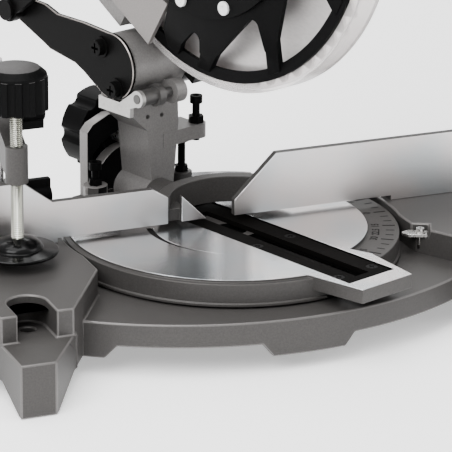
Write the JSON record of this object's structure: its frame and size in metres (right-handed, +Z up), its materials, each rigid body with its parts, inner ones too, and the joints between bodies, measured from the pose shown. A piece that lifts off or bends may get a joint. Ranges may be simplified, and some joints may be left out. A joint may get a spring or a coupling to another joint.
{
  "type": "mitre saw",
  "caption": "Compound mitre saw: swinging table, bevelling and chopping guarded blade head, split fence and screw hold-down clamp on a legged cast base.",
  "frame": {"origin": "turntable axis on the bench plane, at the centre of the four bench bolts", "axes": "+X along the fence to the operator's right, +Y to the back, +Z up"},
  "size_m": [0.4, 0.3079, 0.5152],
  "materials": {
    "cast_grey": "textured paint",
    "dark_grey": "satin paint",
    "champagne": "metallic paint",
    "machined": "machined",
    "steel": "bright",
    "black_plastic": "moulded",
    "black_steel": "blacked",
    "red_plastic": "moulded",
    "clear_plastic": "clear polycarbonate"
  },
  "bodies": {
    "base": {"base_casting": "cast_grey", "centre_bolt": "steel", "fence": "machined", "fence_bolts": "black_steel", "mitre_pointer": "machined", "pointer_screw": "steel", "clamp_post": "steel"},
    "post_lock": {"post_lock_knob": "black_plastic"},
    "clamp_arm": {"clamp_arm": "cast_grey"},
    "clamp_thumb": {"clamp_thumb_knob": "black_plastic"},
    "clamp_pad": {"clamp_pad": "black_plastic"},
    "clamp_screw": {"clamp_rod": "steel", "clamp_knob": "black_plastic"},
    "turntable": {"turntable": "machined", "kerf_insert": "black_plastic", "insert_screws": "steel", "bevel_shaft": "steel", "bevel_stop_bolts": "black_steel", "bevel_stop_nuts": "black_steel"},
    "bevel_arm": {"bevel_post": "dark_grey", "bevel_lock_stud": "steel", "latch_plate": "machined", "depth_stop_bolt": "black_steel", "depth_stop_nut": "black_steel", "guard_bracket": "black_steel", "bracket_screws": "black_steel", "link_pin": "steel", "head_shaft": "steel", "return_spring": "steel"},
    "bevel_knob": {"bevel_lock_knob": "black_plastic"},
    "latch": {"latch_pin": "black_steel"},
    "link": {"guard_link": "black_steel"},
    "head": {"head_arm": "dark_grey", "gear_cover": "dark_grey", "upper_guard": "champagne", "motor_housing": "black_plastic", "motor_end_cap": "black_plastic", "brush_caps": "black_plastic", "handle_left": "black_plastic", "handle_right": "black_plastic", "handle_screws": "steel", "carry_handle": "black_plastic", "dust_port": "black_plastic", "cord_gland": "black_plastic"},
    "spindle": {"spindle": "steel", "spindle_gear": "steel", "inner_flange": "steel", "outer_flange": "steel", "arbor_bolt": "black_steel", "blade": "steel"},
    "armature": {"armature": "steel"},
    "lower_guard": {"lower_guard": "black_plastic", "guard_rim": "clear_plastic", "guard_hub": "black_plastic", "guard_screws": "machined"},
    "trigger": {"trigger": "black_plastic"},
    "lock_off": {"lock_off_button": "red_plastic"},
    "spindle_lock": {"spindle_lock": "black_plastic"}
  },
  "joints": [
    {"name": "mitre_swing", "type": "hinge", "parent": "base", "child": "turntable", "pos_m": [0, 0, 0.05], "axis": [0, 0, 1], "range_deg": [-65, 8]},
    {"name": "bevel_tilt", "type": "hinge", "parent": "turntable", "child": "bevel_arm", "pos_m": [0, 0, 0.05], "axis": [0.342, -0.9397, 0], "range_deg": [0, 28]},
    {"name": "head_chop", "type": "hinge", "parent": "bevel_arm", "child": "head", "pos_m": [-0.02924, 0.08034, 0.1385], "axis": [0.9397, 0.342, 0], "range_deg": [0, 48.57], "stiffness_Nm_per_rad": 12, "springref_deg": -51.57, "deforming": ["return_spring"]},
    {"name": "guard_swing", "type": "hinge", "parent": "head", "child": "lower_guard", "pos_m": [-0.00197, 0.00541, 0.26966], "axis": [0.9397, 0.342, 0], "range_deg": [-142.34, 0.2]},
    {"name": "link_swing", "type": "hinge", "parent": "bevel_arm", "child": "link", "pos_m": [-0.06074, 0.16689, 0.1585], "axis": [0.9397, 0.342, 0], "range_deg": [-0.2, 33.32]},
    {"name": "blade_spin", "type": "hinge", "parent": "head", "child": "spindle", "pos_m": [-0.00197, 0.00541, 0.26966], "axis": [0.9397, 0.342, 0], "continuous": true},
    {"name": "motor_spin", "type": "hinge", "parent": "head", "child": "armature", "pos_m": [-0.02038, 0.05599, 0.2743], "axis": [0.9397, 0.342, 0], "continuous": true},
    {"name": "trigger_pull", "type": "hinge", "parent": "head", "child": "trigger", "pos_m": [0.00728, 0.0034, 0.48778], "axis": [-0.9397, -0.342, 0], "range_deg": [0, 9], "stiffness_Nm_per_rad": 0.6, "springref_deg": -5.73},
    {"name": "lock_off_push", "type": "slide", "parent": "head", "child": "lock_off", "axis": [0.9397, 0.342, 0], "range_m": [0, 0.0035], "stiffness_N_per_m": 400, "springref_m": -0.002},
    {"name": "spindle_lock_push", "type": "slide", "parent": "head", "child": "spindle_lock", "axis": [-0.9397, -0.342, 0], "range_m": [0, 0.0025], "stiffness_N_per_m": 500, "springref_m": -0.002},
    {"name": "latch_slide", "type": "slide", "parent": "bevel_arm", "child": "latch", "axis": [0.9397, 0.342, 0], "range_m": [0, 0.004]},
    {"name": "bevel_knob_turn", "type": "hinge", "parent": "bevel_arm", "child": "bevel_knob", "pos_m": [-0.04269, 0.11216, 0.08345], "axis": [-0.342, 0.9397, 0], "range_deg": [0, 360]},
    {"name": "clamp_height", "type": "slide", "parent": "base", "child": "clamp_arm", "axis": [0, 0, 1], "range_m": [0, 0.015]},
    {"name": "clamp_thumb_turn", "type": "hinge", "parent": "clamp_arm", "child": "clamp_thumb", "pos_m": [-0.1485, 0.025, 0.13], "axis": [1, 0, 0], "range_deg": [-180, 180]},
    {"name": "clamp_travel", "type": "slide", "parent": "clamp_arm", "child": "clamp_pad", "axis": [0, 0, 1], "range_m": [-0.0064, 0.03]},
    {"name": "clamp_screw_turn", "type": "hinge", "parent": "clamp_pad", "child": "clamp_screw", "pos_m": [-0.1485, -0.022, 0.1], "axis": [0, 0, 1], "range_deg": [-1850, 8645]},
    {"name": "post_lock_turn", "type": "hinge", "parent": "base", "child": "post_lock", "pos_m": [-0.1485, 0.025, 0.075], "axis": [1, 0, 0], "range_deg": [-180, 180]}
  ],
  "couplings": [
    {"joint": "guard_swing", "follows": "head_chop", "ratio": -2.9265},
    {"joint": "link_swing", "follows": "head_chop", "ratio": 0.68187},
    {"joint": "motor_spin", "follows": "blade_spin", "ratio": -4.4},
    {"joint": "clamp_screw_turn", "follows": "clamp_travel", "rad_per_m": 5026.5}
  ]
}
